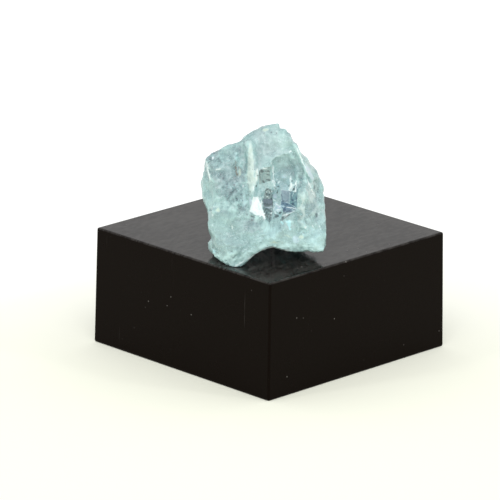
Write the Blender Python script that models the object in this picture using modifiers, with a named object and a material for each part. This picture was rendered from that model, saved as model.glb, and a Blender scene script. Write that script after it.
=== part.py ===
"""A rough aquamarine fragment on a black display block.

Frame: metres, +Z up, origin at the centre of the block's underside, X and Y along the block's sides.
The crystal is laid out in its own frame, seen from in front of the block's near corner:
right, away from the viewer and up from the block's top, in millimetres.
"""

import math

import bmesh
import bpy
from mathutils import Euler, Matrix, Vector, noise

MM = 0.001

# Driving dimensions of the block, in metres.
BLOCK_TOP_SIDE = 0.0300
BLOCK_FOOT_SIDE = 0.0304
BLOCK_HEIGHT = 0.0147
BLOCK_EDGE_RADIUS = 0.00025

# The crystal stands askew on the block: its front looks over the block's near corner.
CRYSTAL_TURN = math.radians(-45)
CRYSTAL_GAP = 0.0003

# Corners of the crystal's broken outline, in millimetres: (right, away, up).
CREST = [
    (0.6, -7.5, 15.75),
    (-2.4, -7.0, 14.6),
    (-3.1, -7.0, 14.0),
    (1.6, -7.3, 14.9),
    (2.4, -7.3, 14.3),
    (1.9, -8.4, 14.2),
    (0.2, -5.2, 14.2),
]
LEFT_FLANK = [
    (-7.1, -7.5, 12.0),
    (-7.8, -7.5, 11.0),
    (-8.3, -8.5, 8.4),
    (-8.2, -9.0, 6.8),
    (-7.45, -10.4, 3.4),
    (-7.45, -11.6, 1.2),
    (-6.6, -12.5, 0.45),
]
RIGHT_FLANK = [
    (4.1, -7.0, 11.3),
    (5.2, -7.2, 10.2),
    (5.9, -7.5, 9.0),
    (6.4, -8.0, 7.6),
    (6.5, -10.5, 3.2),
    (6.5, -12.0, 1.9),
    (6.0, -12.4, 1.2),
]
FRONT = [
    (-2.3, -9.0, 13.2),
    (0.3, -10.2, 12.0),
    (-6.8, -9.5, 11.0),
    (4.0, -9.3, 10.3),
    (-5.5, -11.8, 7.5),
    (-1.7, -12.6, 7.2),
    (3.8, -11.5, 7.4),
    (-1.0, -13.4, 3.7),
    (1.6, -12.8, 3.8),
    (4.6, -13.0, 2.9),
    (-6.2, -13.5, 2.9),
    (-4.1, -15.0, 2.1),
]
FEET = [
    (-5.0, -14.1, 0.1),
    (-3.8, -14.8, 0.0),
    (2.6, -7.6, 0.0),
    (1.6, -4.4, 0.0),
    (-4.2, -4.6, 0.0),
]
BACK = [
    (-5.5, -4.5, 10.6),
    (-7.2, -5.2, 6.0),
    (-5.6, -3.6, 1.0),
    (-2.0, -2.4, 3.0),
    (0.0, -2.6, 8.5),
    (4.2, -3.8, 8.5),
    (5.0, -4.8, 1.8),
    (3.6, -3.4, 4.5),
]

CRYSTAL_TRIANGLES = 7000
CRYSTAL_MIDDLE = (-0.9, -8.5, 7.5)
HULL_GROWTH = 1.06
WEAR_PASSES = 4
VOXEL_SIZE = 0.18

# The sight line comes down on the crystal from in front: up per millimetre away, and the plane
# away from the block's centre on which "front" places are given.
SIGHT_SLOPE = 0.30
SIGHT_PLANE = -8.0

# How far away from the viewer the outline is drawn, from in front of the crystal to behind it.
OUTLINE_NEAR = -18.0
OUTLINE_FAR = 2.0

# The outline that the crystal shows in front, clockwise from its peak: (right, up) on the sight plane.
FRONT_OUTLINE = [
    (0.75, 15.95),
    (0.95, 15.3),
    (1.75, 15.0),
    (2.22, 14.25),
    (2.55, 13.15),
    (3.28, 12.25),
    (4.2, 11.4),
    (5.07, 10.25),
    (5.75, 9.0),
    (6.38, 7.7),
    (6.28, 6.4),
    (6.38, 4.5),
    (6.52, 2.55),
    (6.62, 0.95),
    (6.35, -0.1),
    (5.4, -0.1),
    (4.5, 0.08),
    (2.8, -0.25),
    (1.4, 0.15),
    (0.1, 0.6),
    (-0.9, 0.2),
    (-2.15, -0.6),
    (-3.0, -1.6),
    (-3.5, -2.2),
    (-4.1, -2.25),
    (-5.15, -1.87),
    (-6.55, -0.93),
    (-7.35, 0.0),
    (-7.5, 0.85),
    (-7.25, 1.35),
    (-7.38, 2.7),
    (-7.48, 4.7),
    (-8.13, 6.5),
    (-8.42, 8.2),
    (-8.1, 9.55),
    (-8.0, 11.25),
    (-7.25, 12.1),
    (-5.55, 12.78),
    (-4.2, 13.2),
    (-3.1, 14.25),
    (-2.4, 14.95),
    (-1.55, 15.2),
    (-0.75, 15.7),
]

# Bites out of the hull: name: (centre, radii, turn in degrees), in the crystal's frame.
SCOOPS = {
    "arch": ((1.0, -13.0, -1.4), (4.6, 5.5, 3.0)),
    "right_undercut": ((5.4, -12.5, -1.4), (4.0, 5.0, 2.4)),
    "right_overhang": ((22.9, -1.1, -21.3), (30.0, 30.0, 30.0)),
}

# The etch pit in front: its deepest point and its rim, clockwise from the left, in the crystal's frame.
PIT_BOTTOM = (0.1, -11.0, 6.9)
PIT_RIM = [
    (-2.5, -13.0, 7.7),
    (-1.7, -12.2, 10.1),
    (0.4, -11.8, 10.5),
    (3.5, -11.9, 9.2),
    (3.6, -12.6, 6.5),
    (0.3, -13.6, 4.2),
    (-1.5, -13.6, 5.2),
]
PIT_REACH = 1.9

# The rounded hollow above the pit: centre, radii and turn in degrees.
HOLLOW = ((1.8, -12.4, 11.2), (2.5, 3.2, 3.1), (15, 0, 0))

# Relief of the front: name: (path of (right, up) on the sight plane, reach, steepness, push).
FRONT_RELIEF = {
    "pillar": ([(-2.7, 13.0), (-2.2, 10.7), (-2.06, 8.2), (-1.8, 5.9)], 0.45, 2, 0.55),
    "valley": ([(-3.6, 12.4), (-3.3, 9.4), (-3.2, 6.3)], 0.7, 2, -0.35),
    "right_ridge": ([(2.3, 14.0), (3.1, 12.3), (3.9, 10.8), (4.9, 9.2)], 0.4, 2, 0.5),
    "soft_band": ([(3.9, 7.6), (4.0, 5.7), (4.0, 3.0)], 0.5, 2, 0.35),
    "flank_hollow": ([(5.6, 6.5), (5.4, 4.2)], 0.8, 2, -0.4),
}

# Etching all over the crystal: how closely each kind lies, per millimetre, how high it stands in
# millimetres, and the place in the noise where it starts.
SWELL = (0.33, 0.25, (3.1, 0.7, 5.2))
BITE = (0.3, 0.75, (0.3, 4.4, 7.9))
CHIP = (0.85, 0.16, (5.3, 2.4, 1.9))
WARP = (0.3, 1.2, [(4.0, 1.0, 6.0), (7.7, 2.2, 0.4), (1.9, 8.3, 5.1)])

# The relief of the front is whole where a face turns this far to the viewer, the etching fades out
# over the lowest stretch in millimetres, and a face that is turned sideways keeps this share of it.
FACING_GAIN = 1.6
ETCHING_FADE = 1.2
SIDE_SHARE = 0.35


def remove_all_objects():
    for obj in list(bpy.data.objects):
        bpy.data.objects.remove(obj, do_unlink=True)


def new_collection(name, hidden=False):
    collection = bpy.data.collections.new(name)
    collection.hide_render = hidden
    bpy.context.scene.collection.children.link(collection)
    return collection


def plain_material(name, color, roughness, transmission=0.0, ior=1.5):
    material = bpy.data.materials.new(name)
    material.use_nodes = True
    shader = material.node_tree.nodes["Principled BSDF"]
    shader.inputs["Base Color"].default_value = (*color, 1.0)
    shader.inputs["Roughness"].default_value = roughness
    shader.inputs["Metallic"].default_value = 0.0
    shader.inputs["Transmission Weight"].default_value = transmission
    shader.inputs["IOR"].default_value = ior
    return material


def object_from(bm, name, collection):
    mesh = bpy.data.meshes.new(name)
    bm.to_mesh(mesh)
    bm.free()
    obj = bpy.data.objects.new(name, mesh)
    collection.objects.link(obj)
    return obj


def cutter_from(bm, name, collection):
    cutter = object_from(bm, name, collection)
    cutter.hide_render = True
    cutter.display_type = "WIRE"
    return cutter


def display_block(collection):
    bm = bmesh.new()
    bmesh.ops.create_cube(bm, size=1.0)
    for vert in bm.verts:
        side = BLOCK_TOP_SIDE if vert.co.z > 0 else BLOCK_FOOT_SIDE
        vert.co.x *= side
        vert.co.y *= side
        vert.co.z = (vert.co.z + 0.5) * BLOCK_HEIGHT
    block = object_from(bm, "display_block", collection)
    bevel = block.modifiers.new("eased_edges", "BEVEL")
    bevel.width = BLOCK_EDGE_RADIUS
    bevel.segments = 3
    block.data.materials.append(plain_material("black_block", (0.012, 0.010, 0.009), 0.12))
    return block


def rough_hull(collection):
    """The fragment before anything broke out of it, grown a little and cut flat where it stands."""
    bm = bmesh.new()
    middle = Vector(CRYSTAL_MIDDLE)
    for point in CREST + LEFT_FLANK + RIGHT_FLANK + FRONT + FEET + BACK:
        bm.verts.new((middle + (Vector(point) - middle) * HULL_GROWTH) * MM)
    hull = bmesh.ops.convex_hull(bm, input=bm.verts)
    bmesh.ops.delete(bm, geom=hull["geom_interior"], context="VERTS")
    ground = bmesh.ops.bisect_plane(
        bm,
        geom=bm.verts[:] + bm.edges[:] + bm.faces[:],
        plane_co=(0, 0, 0),
        plane_no=(0, 0, -1),
        clear_outer=True,
    )
    cut_edges = [item for item in ground["geom_cut"] if isinstance(item, bmesh.types.BMEdge)]
    bmesh.ops.holes_fill(bm, edges=cut_edges)
    bmesh.ops.recalc_face_normals(bm, faces=bm.faces)
    return object_from(bm, "aquamarine_crystal", collection)


def scoop(name, collection, centre, radii, turn=(0, 0, 0), facets=3):
    """A cutter shaped as a ball stretched to radii and turned, all in the crystal's frame."""
    bm = bmesh.new()
    bmesh.ops.create_icosphere(bm, subdivisions=facets, radius=1.0)
    place = Matrix.LocRotScale(
        Vector(centre) * MM, Euler([math.radians(a) for a in turn]), Vector(radii) * MM
    )
    bmesh.ops.transform(bm, matrix=place, verts=bm.verts)
    return cutter_from(bm, name, collection)


def etch_pit(name, collection):
    """A flat-sided cutter that narrows from beyond the pit's rim to its bottom."""
    bottom = Vector(PIT_BOTTOM)
    bm = bmesh.new()
    bm.verts.new(bottom * MM)
    for point in PIT_RIM:
        bm.verts.new((bottom + (Vector(point) - bottom) * PIT_REACH) * MM)
    bmesh.ops.convex_hull(bm, input=bm.verts)
    bmesh.ops.recalc_face_normals(bm, faces=bm.faces)
    return cutter_from(bm, name, collection)


def outline_prism(name, collection):
    """The front outline drawn out along the sight line, through the whole crystal."""
    bm = bmesh.new()
    rim = [
        bm.verts.new(Vector((x, OUTLINE_NEAR, z - SIGHT_SLOPE * (OUTLINE_NEAR - SIGHT_PLANE))) * MM)
        for x, z in FRONT_OUTLINE
    ]
    face = bm.faces.new(rim)
    drawn = bmesh.ops.extrude_face_region(bm, geom=[face])["geom"]
    moved = [item for item in drawn if isinstance(item, bmesh.types.BMVert)]
    reach = Vector((0, 1, -SIGHT_SLOPE)) * (OUTLINE_FAR - OUTLINE_NEAR) * MM
    bmesh.ops.translate(bm, vec=reach, verts=moved)
    bmesh.ops.recalc_face_normals(bm, faces=bm.faces)
    return cutter_from(bm, name, collection)


def cut_all(obj, cutters):
    for cutter in cutters:
        cut = obj.modifiers.new(cutter.name, "BOOLEAN")
        cut.operation = "DIFFERENCE"
        cut.object = cutter


def apply_modifiers(obj):
    """Replaces the object's mesh with the one that its modifiers make."""
    graph = bpy.context.evaluated_depsgraph_get()
    finished = bpy.data.meshes.new_from_object(obj.evaluated_get(graph))
    obj.modifiers.clear()
    obj.data = finished


def in_order(obj):
    """Lays the mesh out again in the order of its points' places, the same in every run."""
    found = bmesh.new()
    found.from_mesh(obj.data)
    by_place = sorted(found.verts, key=lambda vert: tuple(vert.co))
    rank = {vert: number for number, vert in enumerate(by_place)}
    rings = []
    for face in found.faces:
        ring = [rank[vert] for vert in face.verts]
        first = ring.index(min(ring))
        rings.append(ring[first:] + ring[:first])
    ordered = bmesh.new()
    corners = [ordered.verts.new(vert.co) for vert in by_place]
    for ring in sorted(rings):
        ordered.faces.new([corners[number] for number in ring])
    ordered.to_mesh(obj.data)
    found.free()
    ordered.free()


def on_front(point):
    """Where a point of the crystal shows from in front, in millimetres: right and up."""
    return point.x / MM, point.z / MM + SIGHT_SLOPE * (point.y / MM - SIGHT_PLANE)


def distance_to_path(x, z, path):
    nearest = math.inf
    for (ax, az), (bx, bz) in zip(path, path[1:]):
        dx, dz = bx - ax, bz - az
        along = ((x - ax) * dx + (z - az) * dz) / (dx * dx + dz * dz)
        along = min(1.0, max(0.0, along))
        nearest = min(nearest, math.hypot(x - ax - along * dx, z - az - along * dz))
    return nearest


def bell(distance, reach, steepness):
    return math.exp(-((distance / reach) ** steepness))


def front_relief(point):
    """How far the front stands out towards the viewer here, in millimetres."""
    x, z = on_front(point)
    return sum(
        push * bell(distance_to_path(x, z, path), reach, steepness)
        for path, reach, steepness, push in FRONT_RELIEF.values()
    )


def etched_relief(point):
    """Swells, shell-shaped bites and fine pits all over the crystal, in millimetres."""
    p = point / MM
    warp_density, warp_reach, warp_shifts = WARP
    bend = Vector([noise.noise(p * warp_density + Vector(shift)) for shift in warp_shifts])
    warped = p + bend * warp_reach

    density, height, shift = SWELL
    relief = height * noise.noise(p * density + Vector(shift))
    for density, height, shift in (BITE, CHIP):
        nearest = noise.voronoi(warped * density + Vector(shift))[0][0]
        relief += height * (nearest - 0.5)
    return relief


def carve(obj):
    """Wears the mesh smooth, then pushes the front's relief and the etching into it."""
    bm = bmesh.new()
    bm.from_mesh(obj.data)
    for _ in range(WEAR_PASSES):
        bmesh.ops.smooth_vert(
            bm, verts=bm.verts, factor=0.5, use_axis_x=True, use_axis_y=True, use_axis_z=True
        )
    bm.normal_update()
    toward = Vector((0, -1, SIGHT_SLOPE)).normalized()
    moves = []
    for vert in bm.verts:
        facing = vert.normal.dot(toward)
        fade = min(1.0, max(0.0, vert.co.z / MM / ETCHING_FADE))
        share = fade * (SIDE_SHARE + (1 - SIDE_SHARE) * abs(facing))
        push = toward * front_relief(vert.co) * min(1.0, max(0.0, facing * FACING_GAIN))
        moves.append((push + vert.normal * etched_relief(vert.co) * share) * MM)
    for vert, move in zip(bm.verts, moves):
        vert.co += move
        vert.co.z = max(vert.co.z, 0.0)
    bm.to_mesh(obj.data)
    bm.free()


def crystal_solid(collection, cutters):
    crystal = rough_hull(collection)
    cut_all(crystal, [scoop(name, cutters, *shape) for name, shape in SCOOPS.items()])
    trim = crystal.modifiers.new("front_outline", "BOOLEAN")
    trim.operation = "INTERSECT"
    trim.object = outline_prism("front_outline", cutters)
    remesh = crystal.modifiers.new("even_faces", "REMESH")
    remesh.mode = "VOXEL"
    remesh.voxel_size = VOXEL_SIZE * MM
    apply_modifiers(crystal)
    in_order(crystal)
    carve(crystal)
    decimate = crystal.modifiers.new("fewer_faces", "DECIMATE")
    decimate.ratio = CRYSTAL_TRIANGLES / (2 * len(crystal.data.polygons))
    pits = [etch_pit("etch_pit", cutters), scoop("hollow", cutters, *HOLLOW, facets=2)]
    cut_all(crystal, pits)
    for obj in [crystal] + pits:
        obj.location = (0, 0, BLOCK_HEIGHT + CRYSTAL_GAP)
        obj.rotation_euler = (0, 0, CRYSTAL_TURN)
    crystal.data.materials.append(
        plain_material("aquamarine", (0.62, 0.85, 0.88), 0.15, transmission=0.9, ior=1.577)
    )
    return crystal


def main():
    remove_all_objects()
    parts = new_collection("aquamarine_on_block")
    cutters = new_collection("cutters", hidden=True)
    display_block(parts)
    crystal_solid(parts, cutters)


main()
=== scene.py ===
import math

import bmesh
import bpy
import numpy
from mathutils import Matrix, Vector, bvhtree, noise


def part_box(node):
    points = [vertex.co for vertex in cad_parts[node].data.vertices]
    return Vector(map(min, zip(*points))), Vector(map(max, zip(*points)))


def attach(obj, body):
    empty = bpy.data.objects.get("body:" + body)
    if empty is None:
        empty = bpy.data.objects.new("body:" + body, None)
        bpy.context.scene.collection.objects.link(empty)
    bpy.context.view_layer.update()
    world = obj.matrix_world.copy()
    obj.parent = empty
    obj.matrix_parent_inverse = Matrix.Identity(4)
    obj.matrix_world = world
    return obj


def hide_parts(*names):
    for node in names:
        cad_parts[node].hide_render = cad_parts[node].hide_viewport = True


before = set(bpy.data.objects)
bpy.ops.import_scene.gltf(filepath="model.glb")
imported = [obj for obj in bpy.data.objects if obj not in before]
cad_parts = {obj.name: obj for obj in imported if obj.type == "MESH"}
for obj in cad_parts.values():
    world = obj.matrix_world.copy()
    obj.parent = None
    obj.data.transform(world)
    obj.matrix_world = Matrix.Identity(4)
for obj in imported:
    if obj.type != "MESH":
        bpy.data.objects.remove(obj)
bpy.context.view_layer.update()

mm = 0.001
perMm = (1000, 1000, 1000)  # scale of a place that is told in millimetres


# A link can stand in a sum, which adds the Math nodes; paint.add makes any other node.
class Link:
    def __init__(self, paint, socket):
        self.paint = paint
        self.socket = socket

    def combine(self, operation, first, second):
        return self.paint.add("ShaderNodeMath", {"operation": operation}, {0: first, 1: second})

    def __add__(self, other):
        return self.combine("ADD", self, other)

    def __sub__(self, other):
        return self.combine("SUBTRACT", self, other)

    def __rsub__(self, other):
        return self.combine("SUBTRACT", other, self)

    def __mul__(self, other):
        return self.combine("MULTIPLY", self, other)


class Paint:
    def __init__(self, name):
        self.material = bpy.data.materials.new(name)
        self.material.use_nodes = True
        self.tree = self.material.node_tree
        self.tree.nodes.clear()

    def add(self, kind, settings, inputs, output=0):
        node = self.tree.nodes.new(kind)
        for name, value in settings.items():
            setattr(node, name, value)
        for name, value in inputs.items():
            if isinstance(value, Link):
                self.tree.links.new(value.socket, node.inputs[name])
            else:
                node.inputs[name].default_value = value
        return Link(self, node.outputs[output]) if node.outputs else node

    def place(self, turn=(0, 0, 0), scale=(1, 1, 1)):
        place = self.add("ShaderNodeTexCoord", {}, {}, "Object")
        rotation = [math.radians(angle) for angle in turn]
        return self.add("ShaderNodeMapping", {}, {"Vector": place, "Rotation": rotation, "Scale": scale})

    def noise(self, place, fineness, detail, roughness=0.5, distortion=0.0):
        return self.add("ShaderNodeTexNoise", {}, {
            "Vector": place, "Scale": fineness, "Detail": detail, "Roughness": roughness,
            "Distortion": distortion})

    def step(self, value, low, high, bottom=0.0, top=1.0):
        return self.add("ShaderNodeMapRange", {"interpolation_type": "SMOOTHSTEP"}, {
            "Value": value, "From Min": low, "From Max": high, "To Min": bottom, "To Max": top})

    def blend(self, factor, first, second, kind="MIX"):
        settings = {"data_type": "RGBA", "blend_type": kind}
        return self.add("ShaderNodeMix", settings, {0: factor, 6: first, 7: second}, 2)

    def bump(self, height, distance, strength):
        return self.add("ShaderNodeBump", {}, {"Height": height, "Strength": strength, "Distance": distance})

    def finish(self, surface, volume=None):
        parts = {"Surface": surface, "Volume": volume} if volume else {"Surface": surface}
        self.add("ShaderNodeOutputMaterial", {}, parts)
        return self.material


def opaque(color):
    return (*color, 1.0)


def newObject(name, bm):
    mesh = bpy.data.meshes.new(name)
    bm.to_mesh(mesh)
    bm.free()
    made = bpy.data.objects.new(name, mesh)
    bpy.context.scene.collection.objects.link(made)
    return made


print("floor, light and camera")

floorLook = {
    "nearColor": (0.875, 0.885, 0.77),
    "farColor": (1.0, 1.0, 1.0),
    "turn": (0, 0, -45),  # degrees, so that the colours change away from the camera
    "blend": (-0.02, 0.08),  # metres away, where the near colour ends and the far one begins
    "roughness": 0.9,
    "glow": 0.2,  # keeps the floor as bright beside the block as in a light tent
    "size": 6.0,  # metres from the middle to each side
}

lightLook = {
    "sky": (1.0, 1.0, 1.0),
    "skyStrength": 0.80,
    "boxes": [  # watts, side, place
        (2.2, 0.5, (-0.45, -0.45, 0.75)),
        (0.35, 0.06, (0.25, -0.55, 0.45)),
        (0.35, 0.06, (-0.55, 0.15, 0.35)),
    ],
}

cameraLook = {
    "place": (-0.434326, -0.431026, 0.207884),
    "yaw": 45.0101,  # degrees from +X
    "pitch": -17.7461,
    "roll": 0.7575,
    "lens": 378.356,
    "sensor": 36.0,
    "nearest": 0.01,  # metres, where the view starts
}


def makeFloor():
    bm = bmesh.new()
    bmesh.ops.create_grid(bm, x_segments=1, y_segments=1, size=floorLook["size"])
    floor = newObject("floor", bm)
    paint = Paint("paleFloor")
    away = paint.add("ShaderNodeSeparateXYZ", {}, {"Vector": paint.place(turn=floorLook["turn"])})
    far = paint.step(away, *floorLook["blend"])
    color = paint.blend(far, opaque(floorLook["nearColor"]), opaque(floorLook["farColor"]))
    floor.data.materials.append(paint.finish(paint.add("ShaderNodeBsdfPrincipled", {}, {
        "Base Color": color, "Roughness": floorLook["roughness"], "Specular IOR Level": 0.0,
        "Emission Color": color, "Emission Strength": floorLook["glow"]})))


def makeLight():
    world = bpy.data.worlds.new("tent")
    bpy.context.scene.world = world
    world.use_nodes = True
    background = world.node_tree.nodes["Background"]
    background.inputs["Color"].default_value = opaque(lightLook["sky"])
    background.inputs["Strength"].default_value = lightLook["skyStrength"]
    bpy.context.scene.view_settings.view_transform = "Standard"
    for power, side, place in lightLook["boxes"]:
        panel = bpy.data.lights.new("softbox", "AREA")
        panel.energy = power
        panel.size = side
        softbox = bpy.data.objects.new("softbox", panel)
        facing = Vector(place).to_track_quat("Z", "Y").to_matrix().to_4x4()
        softbox.matrix_world = Matrix.Translation(place) @ facing
        bpy.context.scene.collection.objects.link(softbox)


def makeCamera():
    yaw, pitch, roll = (math.radians(cameraLook[name]) for name in ("yaw", "pitch", "roll"))
    ahead = Vector((math.cos(yaw) * math.cos(pitch), math.sin(yaw) * math.cos(pitch), math.sin(pitch)))
    right = ahead.cross(Vector((0, 0, 1))).normalized()
    up = right.cross(ahead)
    rolledRight = right * math.cos(roll) + up * math.sin(roll)
    rolledUp = up * math.cos(roll) - right * math.sin(roll)
    turn = Matrix((rolledRight, rolledUp, -ahead)).transposed().to_4x4()
    lens = bpy.data.cameras.new("camera")
    lens.lens = cameraLook["lens"]
    lens.sensor_width = cameraLook["sensor"]
    lens.clip_start = cameraLook["nearest"]
    eye = bpy.data.objects.new("camera", lens)
    eye.matrix_world = Matrix.Translation(cameraLook["place"]) @ turn
    bpy.context.scene.collection.objects.link(eye)
    bpy.context.scene.camera = eye


makeFloor()
makeLight()
makeCamera()

print("display block")

blockLook = {
    "color": (0.0038, 0.0017, 0.0008),
    "dustColor": (0.16, 0.15, 0.14),
    "shineColor": (1.0, 0.975, 0.945),
    "ior": 1.49,
    "topShine": 0.20,  # specular level: the block gives back little of the white around it
    "sideShine": 0.045,
    "topRoughness": 0.07,
    "wipedRoughness": 0.17,
    "sideRoughness": 0.16,
    "hazeRoughness": 0.2,
    "dustRoughness": 0.4,
    "topEdge": (14.45, 14.6),  # mm up, where the sides end and where the top begins
    "hazeFineness": 0.12,  # per mm
    "dustFineness": 0.9,
    "dustEdge": (0.10, 0.05),  # how far from a grain's middle it ends and is whole
    "dustCover": 0.8,
    "dustyFineness": 0.45,  # of the places that are dusty
    "dustyEdge": (0.56, 0.6),
    "scratchEdge": (0.70, 0.78),
    "scratchedEdge": (0.5, 0.62),  # of the haze, in the places that are scratched
    "scratchCover": 0.35,
    "wipeEdge": (0.35, 0.7),
    "filmEdge": (0.40, 0.60),
    "filmCover": 0.20,
    "wipeHeight": 0.00002,  # metres
    "hazeHeight": 0.0001,
    "bumpStrength": 0.3,
}

# Long patterns on the block: turn in degrees, how fine they are along each axis per metre, and detail.
blockPatterns = {
    "wipes": ((0, 0, 20), (90, 1400, 600), 3.0),
    "scratches": ((35, 20, -30), (60, 2600, 60), 2.0),
    "grain": ((0, 0, 20), (1100, 3200, 1000), 2.0),
}


def blockPaint():
    paint = Paint("blackAcrylic")
    place = paint.place(scale=perMm)
    up = paint.add("ShaderNodeSeparateXYZ", {}, {"Vector": place}, "Z")
    isTop = paint.step(up, *blockLook["topEdge"])
    wipes, lines, grain = (paint.noise(paint.place(turn, fineness), 1.0, detail)
                           for turn, fineness, detail in blockPatterns.values())
    haze = paint.noise(place, blockLook["hazeFineness"], 3.0)

    grains = paint.add("ShaderNodeTexVoronoi", {}, {
        "Vector": place, "Scale": blockLook["dustFineness"]}, "Distance")
    dusty = paint.step(paint.noise(place, blockLook["dustyFineness"], 1.0), *blockLook["dustyEdge"])
    dust = paint.step(grains, *blockLook["dustEdge"]) * dusty
    scratched = paint.step(haze, *blockLook["scratchedEdge"])
    scratches = paint.step(lines, *blockLook["scratchEdge"]) * scratched
    marked = paint.add("ShaderNodeMath", {"operation": "MAXIMUM"}, {
        0: dust, 1: scratches * blockLook["scratchCover"]})
    mixed = grain * 0.5 + wipes * 0.25 + haze * 0.25
    film = paint.step(mixed, *blockLook["filmEdge"], 0.0, blockLook["filmCover"]) * isTop
    color = paint.blend(marked * blockLook["dustCover"] + film, opaque(blockLook["color"]),
                        opaque(blockLook["dustColor"]))
    wiped = paint.step(wipes, *blockLook["wipeEdge"], blockLook["topRoughness"], blockLook["wipedRoughness"])

    topSkin = paint.add("ShaderNodeBsdfPrincipled", {}, {
        "Base Color": color, "Roughness": wiped + marked * blockLook["dustRoughness"],
        "IOR": blockLook["ior"], "Specular IOR Level": blockLook["topShine"],
        "Specular Tint": opaque(blockLook["shineColor"]),
        "Normal": paint.bump(wipes, blockLook["wipeHeight"], blockLook["bumpStrength"])})
    sideSkin = paint.add("ShaderNodeBsdfPrincipled", {}, {
        "Base Color": color, "Roughness": haze * blockLook["hazeRoughness"] + blockLook["sideRoughness"],
        "IOR": blockLook["ior"], "Specular IOR Level": blockLook["sideShine"],
        "Normal": paint.bump(haze, blockLook["hazeHeight"], blockLook["bumpStrength"])})
    return paint.finish(paint.add("ShaderNodeMixShader", {}, {0: isTop, 1: sideSkin, 2: topSkin}))


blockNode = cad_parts["display_block"]
blockNode.data.materials.clear()
blockNode.data.materials.append(blockPaint())

print("aquamarine")

stone = {
    "turn": -45,  # degrees: the stone's front looks over the block's near corner
    "sink": 0.28,  # mm down onto the block, across the gap that the solids keep
    "weld": 0.002,  # mm, points of the solid this close are one
    "cuts": 3,  # along every edge of the solid
    "wear": 0.5,
    "wornPasses": 2,
    "ripple": 0.16,  # mm, soft swells of the etched faces
    "rippleFineness": 0.8,  # per mm
    "etch": 0.13,  # mm, etched figures
    "etchFineness": 1.9,
    "etchMiddle": 0.4,  # of a figure, which stands neither out nor in
    "bend": 0.5,  # mm by which the figures are bent
    "bendFineness": 0.5,
    "grain": 0.05,  # mm
    "grainFineness": 5.0,
    "sharpAngle": 32,  # degrees between faces that meet in a sharp edge
}

sight = {
    "slope": 0.30,  # the line of sight comes down on the stone: up per millimetre away
    "plane": -8.0,  # mm away, the upright plane on which places on the front are told
    "foot": -14.25,  # how far away the front's general plane lies at the block's top
    "lean": 0.26,  # and how much further per millimetre up
    "ahead": 10,  # mm in front of the general plane, where a line of sight starts
    "reliefDepth": 6,  # mm behind it, where the front's dents and ridges end
    "marksDepth": (10, 8),  # mm behind it, where the marks end and where they are whole
}

# Corners of the broken window in front: right, up, depth under the stone's surface, in millimetres.
windowCorners = {
    "a": (-2.13, 6.68, 0.1), "b": (-2.57, 4.85, 0.02), "c": (-1.79, 4.37, 0.02), "d": (-0.63, 3.87, 0.1),
    "e": (-1.04, 5.29, 0.4), "f": (-1.64, 6.62, 0.45), "g": (-0.97, 6.39, 0.6), "h": (0.19, 6.41, 0.8),
    "i": (0.24, 5.58, 0.8), "j": (-0.85, 5.53, 0.75), "k": (-0.67, 7.62, 0.6), "l": (-0.01, 7.63, 0.7),
    "m": (-0.02, 3.44, -0.1), "n": (1.1, 5.57, 0.6), "o": (0.24, 5.01, 0.6), "p": (1.47, 5.01, 0.45),
    "q": (1.24, 3.95, -0.05), "r": (0.14, 4.13, 0.3), "s": (1.21, 6.2, 0.9), "t": (2.18, 5.9, 0.9),
    "u": (3.03, 5.34, 0.35), "v": (1.83, 4.76, 0.4), "w": (3.25, 5.2, -0.1), "x": (1.75, 4.35, -0.05),
    "A": (-1.9, 8.1, -0.1), "B": (-1.5, 10.19, -0.1), "C": (-0.07, 10.47, -0.05), "D": (-0.05, 8.7, 0.5),
    "E": (-1.43, 8.23, 0.35), "F": (0.06, 11.3, -0.15), "K": (3.22, 7.9, -0.1), "L": (3.18, 6.4, -0.1),
    "M": (0.2, 9.46, 0.3), "N": (0.46, 8.08, 0.7), "O": (1.19, 7.59, 0.9), "P": (2.13, 9.23, -0.05),
    "Q": (3.15, 8.8, -0.1), "R": (2.8, 7.45, 0.4), "S": (2.27, 7.47, 0.8), "T": (1.0, 10.2, -0.05),
    "W": (0.75, 8.9, 0.5), "X": (1.75, 8.35, 0.6),
}

# Its facets, by their corners, and the tone that each shows: painted light and shade of the window.
windowFacets = {
    "abcdef": "white", "ghij": "violet", "klhg": "speckled", "fejg": "pale", "ejiormd": "wedge",
    "hsni": "pale", "inpo": "pale", "opqr": "pale", "nstuvp": "blue", "vuwx": "line", "pvxq": "grey",
    "rqm": "pale", "AafgkE": "pale", "BCDE": "banded", "EDNlk": "pale", "CMWND": "pale", "CFTWM": "clear",
    "TPXW": "clear", "WXON": "clear", "PQRSX": "clear", "QKR": "clear", "RKLt": "teal", "SRt": "teal",
    "XSO": "clear", "OSts": "mauve", "NOshl": "clear", "Ltuw": "teal", "ABE": "pale",
}

# The tones paint the window's light: the white facet and the lines are painted highlights that glow, the dark
# tones are painted shade and the pale ones painted light.
tones = {
    "white": ((0.80, 0.88, 0.88), 0.0, 0.18),  # colour, clearness, painted glow
    "line": ((0.74, 0.94, 0.98), 0.10, 0.02),
    "pale": ((0.58, 0.82, 0.84), 0.15, 0.0),
    "clear": ((0.49, 0.73, 0.78), 0.20, 0.0),
    "grey": ((0.37, 0.51, 0.52), 0.20, 0.0),
    "violet": ((0.16, 0.19, 0.26), 0.10, 0.0),
    "blue": ((0.17, 0.31, 0.45), 0.15, 0.0),
    "teal": ((0.26, 0.47, 0.54), 0.15, 0.0),
    "mauve": ((0.35, 0.48, 0.59), 0.15, 0.0),
    "speckled": ((0.34, 0.45, 0.47), 0.15, 0.0),
    "wedge": ((0.33, 0.45, 0.46), 0.15, 0.0),
    "banded": ((0.37, 0.52, 0.52), 0.15, 0.0),
}

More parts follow.
